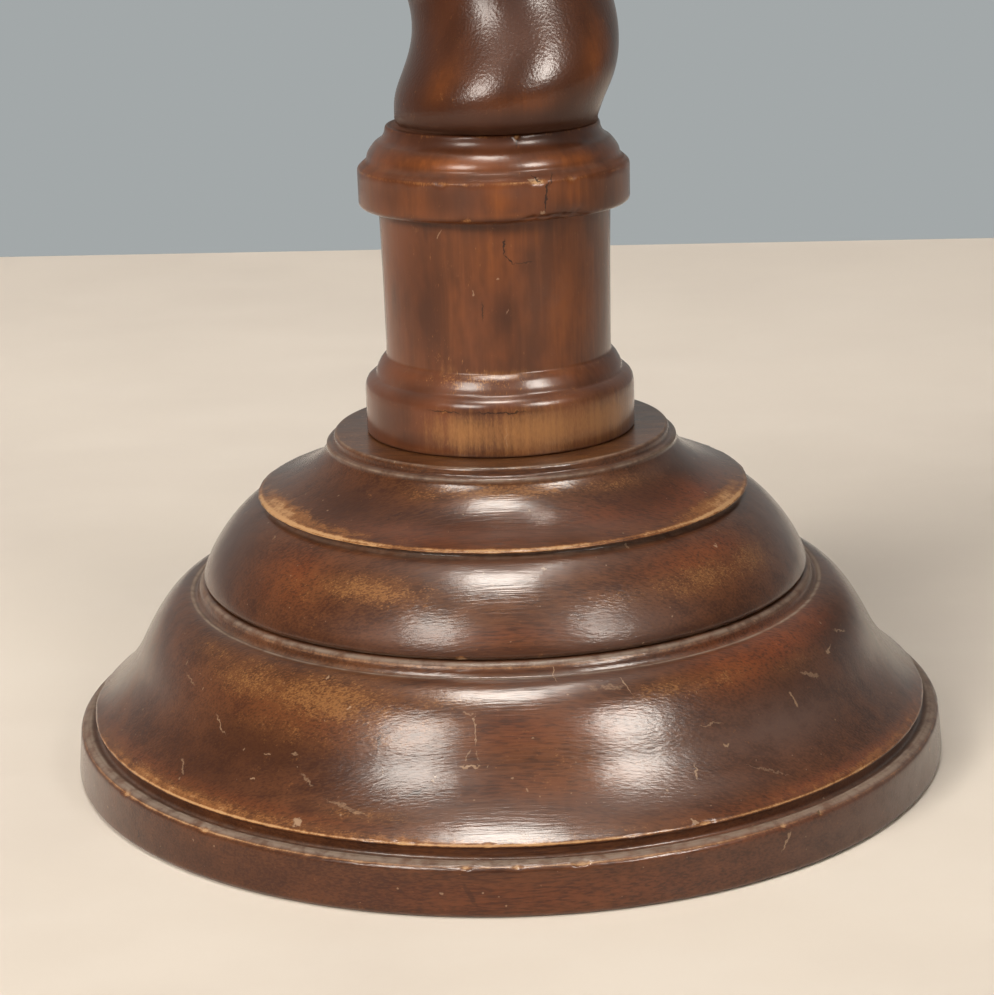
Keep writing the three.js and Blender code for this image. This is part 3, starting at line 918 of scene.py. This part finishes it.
COLUMN_CRACKS = (0.6, 1.1)
AMBER_EDGE = (0.95, 1.3, 0, 0.85)
TAN_EDGE = (1.25, 1.6, 0, 0.9)
WAX_LOSS = (0.1, 1.0, 1.0, 0.06)
UNDER_ROUGHNESS = (0.3, 0.7, 0.32, 0.42)

# Shares of noises and patches in the sums that decide where a layer shows
TONE_CLOUD = 0.4
TONE_DRIFT = 0.6
GOLD_PATCH = 0.46
GOLD_GRIT = 0.5
FLAME_CLOUD = 1.5
FLAME_STREAK = 0.5
AMBER_STREAK = 0.8
AMBER_FLECK = 0.5
SPECK_PATCH = 0.3
SPECK_GRIT = 0.7
EDGE_FLECK = 0.7
EDGE_GRIT = 0.9
MARK_FLECK = 1.3

# How much of what lies below them some layers cover
DISC_SHADE_COVER = 0.8
COLUMN_SHADE_COVER = 0.7
TWIST_COVER = 0.68
COLUMN_DUST_COVER = 0.6
PALE_COVER = 0.8
DISC_DARK_COVER = 0.7
COLUMN_DARK_COVER = 0.85

# Shine: thin wax over the stain
DISC_COAT_ROUGHNESS = 0.19
COLUMN_COAT_ROUGHNESS = 0.22
COAT_INDEX = 1.34
UNDER_SHINE = 0.12
DUST_ROUGHNESS = 0.3
MATT_ROUGHNESS = 0.4

# Relief in millimetres
LINE_DEPTH = 0.1
DISC_GRIT_DEPTH = 0.05
TWIST_GRAIN_DEPTH = 0.095
STREAK_DEPTH = 0.04
COLUMN_GRIT_DEPTH = 0.06


def finish(graph, colour, roughness, height, coat_roughness):
    """Feeds the finished colour, roughness and relief to the shader, under a thin coat of wax.

    The wax is thinner on worn, dusty and matt places.
    """
    loss = graph.add(graph.attribute("wear"), graph.attribute("dust"), graph.attribute("matt"))
    bump = graph.node("ShaderNodeBump", {"Strength": 1.0, "Distance": MM, "Height": height})
    inputs = {
        "Base Color": colour,
        "Roughness": roughness,
        "Specular IOR Level": UNDER_SHINE,
        "Coat Weight": graph.span(loss, *WAX_LOSS),
        "Coat IOR": COAT_INDEX,
        "Coat Roughness": coat_roughness,
        "Normal": bump,
        "Coat Normal": bump,
    }
    graph.shade(inputs)
    return graph.owner


def under_roughness(graph, cloud, dust):
    """Roughness of the stain below the wax, higher on dusty and matt places."""
    matt = graph.times(graph.attribute("matt"), MATT_ROUGHNESS)
    return graph.add(graph.span(cloud, *UNDER_ROUGHNESS), graph.times(dust, DUST_ROUGHNESS), matt)


def worn_edges(graph, colour, fleck, grit):
    """Edges rubbed through the stain: amber first, then bare tan wood."""
    ragged = graph.add(graph.attribute("wear"), graph.times(fleck, EDGE_FLECK), graph.times(grit, EDGE_GRIT))
    colour = graph.mix(graph.span(ragged, *AMBER_EDGE), colour, EDGE_AMBER)
    return graph.mix(graph.span(ragged, *TAN_EDGE), colour, BARE_TAN)


def ragged_marks(graph, amount, fleck, low, high):
    """Breaks fine marks up along their length."""
    return graph.times(graph.span(graph.add(amount, graph.times(fleck, MARK_FLECK)), low, high), amount)


def disc_colouring(graph, cloud, drift, fibre, fleck, grit):
    """Dark stain with its grain, rubbed golden and red in patches, with grey bloom and painted sheen in
    some, and darker stain and painted shade in others.
    """
    tone = graph.add(graph.times(cloud, TONE_CLOUD), graph.times(drift, TONE_DRIFT))
    colour = graph.mix(graph.span(tone, *DISC_TONE), DEEP_STAIN, RED_STAIN)
    colour = graph.mix(graph.span(fibre, *LIGHT_FIBRE), colour, STAIN_FIBRE)
    red = graph.times(graph.attribute("red"), graph.span(graph.add(grit, fibre), *DISC_RED))
    colour = graph.mix(red, colour, ORANGE_RED)
    gold = graph.attribute("gold")
    colour = graph.mix(graph.times(gold, graph.span(drift, *DISC_AMBER)), colour, AMBER_TINT)
    speckled = graph.add(graph.times(gold, GOLD_PATCH), fleck, graph.times(grit, GOLD_GRIT))
    flecks = graph.times(graph.span(speckled, *GOLD_FLECKS), graph.span(gold, *GOLD_REACH))
    colour = graph.mix(flecks, colour, RUBBED_GOLD)
    colour = graph.mix(graph.span(fibre, *DARK_FIBRE), colour, DEEP_STAIN)
    # Grey wax bloom in patches, together with a painted sheen of reflected light
    bloom_and_sheen = graph.times(graph.attribute("bloom_and_sheen"), graph.span(drift, *DISC_BLOOM_AND_SHEEN_RANGE))
    colour = graph.mix(bloom_and_sheen, colour, BLOOM_AND_SHEEN_GREY)
    # Darker stain together with painted shade, where the shade patches lie
    colour = graph.mix(graph.times(graph.attribute("shade"), DISC_SHADE_COVER), colour, DEEP_STAIN)
    return worn_edges(graph, colour, fleck, grit)


def disc_wood(name, radius, pale_marks, dark_marks):
    """Dark stained board, its grain running left to right, with dust, scratches and small pale spots."""
    graph = Graph(bpy.data.materials.new(name))
    place = graph.place()
    cloud = graph.noise(place, *DISC_CLOUD)
    drift = graph.noise(place, *DISC_DRIFT)
    fibre = graph.noise(place, *DISC_FIBRE)
    fleck = graph.noise(place, *DISC_FLECK)
    grit = graph.noise(place, *DISC_GRIT)
    colour = disc_colouring(graph, cloud, drift, fibre, fleck, grit)
    dust = graph.times(graph.attribute("dust"), graph.span(grit, *DISC_DUST))
    colour = graph.mix(dust, colour, DUST_GREY)

    flat = graph.unrolled(place, radius)
    pale, flat = graph.marks(flat, radius, pale_marks)
    pale = ragged_marks(graph, pale, fleck, *DISC_SCRAPES)
    dark, flat = graph.marks(flat, radius, dark_marks)
    colour = graph.mix(graph.times(pale, PALE_COVER), colour, PALE_SCRAPE)
    colour = graph.mix(graph.times(dark, DISC_DARK_COVER), colour, NEAR_BLACK)
    spots = graph.noise(place, *DISC_SPOTS)
    colour = graph.mix(graph.span(spots, *PALE_SPOTS), colour, PALE_SCRAPE)

    lines = graph.noise(place, *DISC_LINES)
    height = graph.add(graph.times(lines, LINE_DEPTH), graph.times(grit, DISC_GRIT_DEPTH))
    return finish(graph, colour, under_roughness(graph, cloud, dust), height, DISC_COAT_ROUGHNESS)


def column_colouring(graph, cloud, streak, fleck, grit, on_twist):
    """Redder stain with upright fibres, orange flame figure, an amber plinth and a darker twist, with grey
    bloom and painted sheen in some patches, and darker stain and painted shade in others.
    """
    colour = graph.mix(graph.span(cloud, *COLUMN_TONE), COLUMN_DARK, COLUMN_RED)
    colour = graph.mix(graph.span(streak, *COLUMN_LIGHT_FIBRE), colour, COLUMN_FIBRE)
    colour = graph.mix(graph.times(on_twist, TWIST_COVER), colour, DEEP_STAIN)
    flame = graph.add(graph.times(cloud, FLAME_CLOUD), graph.times(streak, FLAME_STREAK))
    red = graph.times(graph.attribute("red"), graph.span(flame, *COLUMN_FLAME))
    colour = graph.mix(red, colour, FLAME_ORANGE)
    fibres = graph.add(graph.times(streak, AMBER_STREAK), graph.times(fleck, AMBER_FLECK))
    amber = graph.add(graph.attribute("gold"), fibres)
    colour = graph.mix(graph.span(amber, *COLUMN_AMBER), colour, PLINTH_AMBER)
    # Grey wax bloom in patches, together with a painted sheen of reflected light
    bloom_and_sheen = graph.times(graph.attribute("bloom_and_sheen"), graph.span(grit, *COLUMN_BLOOM_AND_SHEEN_RANGE))
    colour = graph.mix(bloom_and_sheen, colour, COLUMN_BLOOM_AND_SHEEN)
    # Darker stain together with painted shade, where the shade patches lie
    colour = graph.mix(graph.times(graph.attribute("shade"), COLUMN_SHADE_COVER), colour, COLUMN_SHADE)
    speckled = graph.times(graph.attribute("specks"), SPECK_PATCH)
    specks = graph.add(speckled, fleck, graph.times(grit, SPECK_GRIT))
    colour = graph.mix(graph.span(specks, *COLUMN_SPECKS), colour, PLINTH_AMBER)
    return worn_edges(graph, colour, fleck, grit)


def column_wood():
    """Turned blank with dust, scratches and cracks, and a fine pitted grain on the twist."""
    graph = Graph(bpy.data.materials.new("column_wood_finish"))
    place = graph.place()
    height_above = graph.split(place)["Z"]
    cloud = graph.noise(place, *COLUMN_CLOUD)
    streak = graph.noise(place, *COLUMN_STREAK)
    fleck = graph.noise(place, *COLUMN_FLECK)
    grit = graph.noise(place, *COLUMN_GRIT)
    on_twist = graph.span(height_above, *TWIST_RANGE)
    colour = column_colouring(graph, cloud, streak, fleck, grit, on_twist)
    dust = graph.times(graph.attribute("dust"), graph.span(grit, *COLUMN_GREY))
    colour = graph.mix(graph.times(dust, COLUMN_DUST_COVER), colour, COLUMN_DUST)

    flat = graph.unrolled(place, COLUMN_MARK_RADIUS)
    pale, flat = graph.marks(flat, COLUMN_MARK_RADIUS, COLUMN_PALE_MARKS)
    pale = ragged_marks(graph, pale, fleck, *COLUMN_SCRAPES)
    dark, flat = graph.marks(flat, COLUMN_MARK_RADIUS, COLUMN_DARK_MARKS)
    dark = ragged_marks(graph, dark, fleck, *COLUMN_CRACKS)
    colour = graph.mix(graph.times(pale, PALE_COVER), colour, PALE_SCRAPE)
    colour = graph.mix(graph.times(dark, COLUMN_DARK_COVER), colour, NEAR_BLACK)

    grain = graph.times(graph.noise(place, *COLUMN_GRAIN), on_twist)
    height = graph.add(
        graph.times(grain, TWIST_GRAIN_DEPTH),
        graph.times(streak, STREAK_DEPTH),
        graph.times(grit, COLUMN_GRIT_DEPTH),
    )
    return finish(graph, colour, under_roughness(graph, cloud, dust), height, COLUMN_COAT_ROUGHNESS)


# Studio

# Floor: colours, noises and ranges as for the woods, and its edges in metres
FLOOR_TAN = (0.6, 0.525, 0.445, 1)
FLOOR_CREAM = (0.645, 0.567, 0.478, 1)
FLOOR_BLOTS = (0.66, 0.588, 0.505, 1)
# Painted light: the floor's colour grows lighter towards the back
FLOOR_FAR_LIT = (0.74, 0.66, 0.58, 1)
FLOOR_CLOUD = (3.2, 5, 0.55)
FLOOR_BLOT = ((9, 16, 9), 4, 0.6)
FLOOR_TONE = (0.35, 0.65)
FLOOR_BLOT_RANGE = (0.4, 0.7, 0, 0.4)
FLOOR_FAR_LIT_RANGE = (-0.3, 0.9, 0, 0.4)
FLOOR_ROUGHNESS = (0.3, 0.7, 0.62, 0.75)
FLOOR_NEAR_EDGE = -6.0
FLOOR_SIDE = 5.0
FLOOR_FAR_LEFT = 1.517
FLOOR_FAR_RIGHT = 0.929

# The backdrop as the camera sees it, and the room that the surfaces reflect
BACKDROP_GREY = (0.366, 0.392, 0.397, 1)
ROOM_AHEAD = (0.29, 0.285, 0.27, 1)
ROOM_BEHIND = (0.15, 0.135, 0.115, 1)
ROOM_TURN = (-0.2, 0.6)

# Soft lights: name, azimuth and elevation in degrees, distance and size in metres, and power. The plain ones
# light the surfaces and the shine ones make the highlights. A light in front of another one hides it from
# a reflection, so the shine ones stand nearer.
PLAIN_WARM = (1, 0.97, 0.93)
PLAIN_LIGHTS = [
    ("light_left", -31, 36, 6.0, (1.7, 2.0), 92),
    ("light_right", 40, 36, 6.0, (1.5, 1.9), 78),
    ("light_top", -10, 79, 5.0, (1.5, 1.5), 105),
    ("light_window", -44, 28, 5.0, (1.6, 1.2), 212),
]
SHINE_WARM = (1, 0.95, 0.87)
SHINE_LIGHTS = [
    ("shine_left", -31, 36, 4.5, (1.28, 1.5), 155),
    ("shine_right", 40, 36, 4.5, (1.13, 1.43), 190),
    ("shine_top", -10, 87, 4.5, (1.35, 2.7), 480),
]
LIGHT_AIM = (0, 0, 0.12)


def floor():
    """A wide pale floor whose far edge shows as the straight line behind the object, painted lighter towards
    the back where more light falls.
    """
    graph = Graph(bpy.data.materials.new("floor_finish"))
    place = graph.place()
    cloud = graph.noise(place, *FLOOR_CLOUD)
    blot = graph.noise(place, *FLOOR_BLOT)
    colour = graph.mix(graph.span(cloud, *FLOOR_TONE), FLOOR_TAN, FLOOR_CREAM)
    colour = graph.mix(graph.span(blot, *FLOOR_BLOT_RANGE), colour, FLOOR_BLOTS)
    # Painted light: lighter towards the back, where more light falls
    painted_far_light = graph.span(graph.split(place)["Y"], *FLOOR_FAR_LIT_RANGE)
    colour = graph.mix(painted_far_light, colour, FLOOR_FAR_LIT)
    graph.shade({"Base Color": colour, "Roughness": graph.span(blot, *FLOOR_ROUGHNESS)})
    near = [(-FLOOR_SIDE, FLOOR_NEAR_EDGE, 0), (FLOOR_SIDE, FLOOR_NEAR_EDGE, 0)]
    far = [(FLOOR_SIDE, FLOOR_FAR_RIGHT, 0), (-FLOOR_SIDE, FLOOR_FAR_LEFT, 0)]
    mesh = bpy.data.meshes.new("floor")
    mesh.from_pydata(near + far, [], [(0, 1, 2, 3)])
    mesh.materials.append(graph.owner)
    add_object("floor", mesh)


def soft_light(name, azimuth, elevation, distance, size, power, colour, shines):
    """A rectangular soft light aimed at the object. It makes either highlights or the plain light."""
    lamp = bpy.data.lights.new(name, "AREA")
    lamp.shape = "RECTANGLE"
    lamp.size, lamp.size_y = size
    lamp.energy = power
    lamp.color = colour
    turn, rise = math.radians(azimuth), math.radians(elevation)
    away = Vector((math.sin(turn) * math.cos(rise), -math.cos(turn) * math.cos(rise), math.sin(rise)))
    light = add_object(name, lamp)
    light.location = Vector(LIGHT_AIM) + away * distance
    light.rotation_euler = away.to_track_quat("Z", "Y").to_euler()
    light.visible_glossy = shines
    light.visible_diffuse = not shines


def studio():
    """Plain grey backdrop, a room that is dimmer behind the camera, and soft lights."""
    world = bpy.data.worlds.new("studio")
    graph = Graph(world)
    facing = graph.split(graph.node("ShaderNodeTexCoord", {}, output="Generated"))["Y"]
    inputs = {"Value": facing, "From Min": ROOM_TURN[0], "From Max": ROOM_TURN[1]}
    room = graph.mix(graph.node("ShaderNodeMapRange", inputs), ROOM_BEHIND, ROOM_AHEAD)
    seen = graph.node("ShaderNodeLightPath", {}, output="Is Camera Ray")
    backdrop = graph.tree.nodes["Background"]
    graph.feed(backdrop.inputs["Color"], graph.mix(seen, room, BACKDROP_GREY))
    bpy.context.scene.world = world
    for setting in PLAIN_LIGHTS:
        soft_light(*setting, PLAIN_WARM, False)
    for setting in SHINE_LIGHTS:
        soft_light(*setting, SHINE_WARM, True)
    bpy.context.scene.view_settings.view_transform = "Standard"


def photo_camera():
    """Camera at the viewing angle of the photograph."""
    forward = Vector((
        math.sin(CAMERA_TURN) * math.cos(CAMERA_DOWN),
        math.cos(CAMERA_TURN) * math.cos(CAMERA_DOWN),
        -math.sin(CAMERA_DOWN),
    ))
    right = forward.cross(Vector((0, 0, 1))).normalized()
    up = right.cross(forward)
    rolled_right = math.cos(CAMERA_ROLL) * right + math.sin(CAMERA_ROLL) * up
    rolled_up = -math.sin(CAMERA_ROLL) * right + math.cos(CAMERA_ROLL) * up
    lens = bpy.data.cameras.new("photo_camera")
    lens.lens = CAMERA_LENS
    camera = add_object("photo_camera", lens)
    turn = Matrix((rolled_right, rolled_up, -forward)).transposed()
    camera.matrix_world = Matrix.Translation(CAMERA_PLACE) @ turn.to_4x4()
    bpy.context.scene.camera = camera


def dress(piece, node, material):
    """Puts a fine piece in the place of its solid, with its finish."""
    piece.data.materials.append(material)
    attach(piece, "root")
    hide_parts(node)


photo_camera()
studio()
floor()

lower_finish = disc_wood("lower_disc_finish", LOWER_MARK_RADIUS, LOWER_PALE_MARKS, LOWER_DARK_MARKS)
upper_finish = disc_wood("upper_disc_finish", UPPER_MARK_RADIUS, UPPER_PALE_MARKS, UPPER_DARK_MARKS)
column_finish = column_wood()

lower_outline = lower_disc_outline()
upper_outline = upper_disc_outline()
lower_disc = turned_mesh("lower_disc_turned", lower_outline, LOWER_SEGMENTS, LOWER_PATCHES, LOWER_CHIPS)
upper_disc = turned_mesh("upper_disc_turned", upper_outline, UPPER_SEGMENTS, UPPER_PATCHES, UPPER_CHIPS)
column = turned_mesh("column_turned", column_outline(), COLUMN_SEGMENTS, COLUMN_PATCHES, COLUMN_CHIPS)
top_plate = turned_mesh("top_plate_turned", plate_outline(), PLATE_SEGMENTS, PLATE_PATCHES, [])

dress(lower_disc, "base_disc_lower", lower_finish)
dress(upper_disc, "base_disc_upper", upper_finish)
dress(column, "column", column_finish)
dress(top_plate, "top_plate", upper_finish)
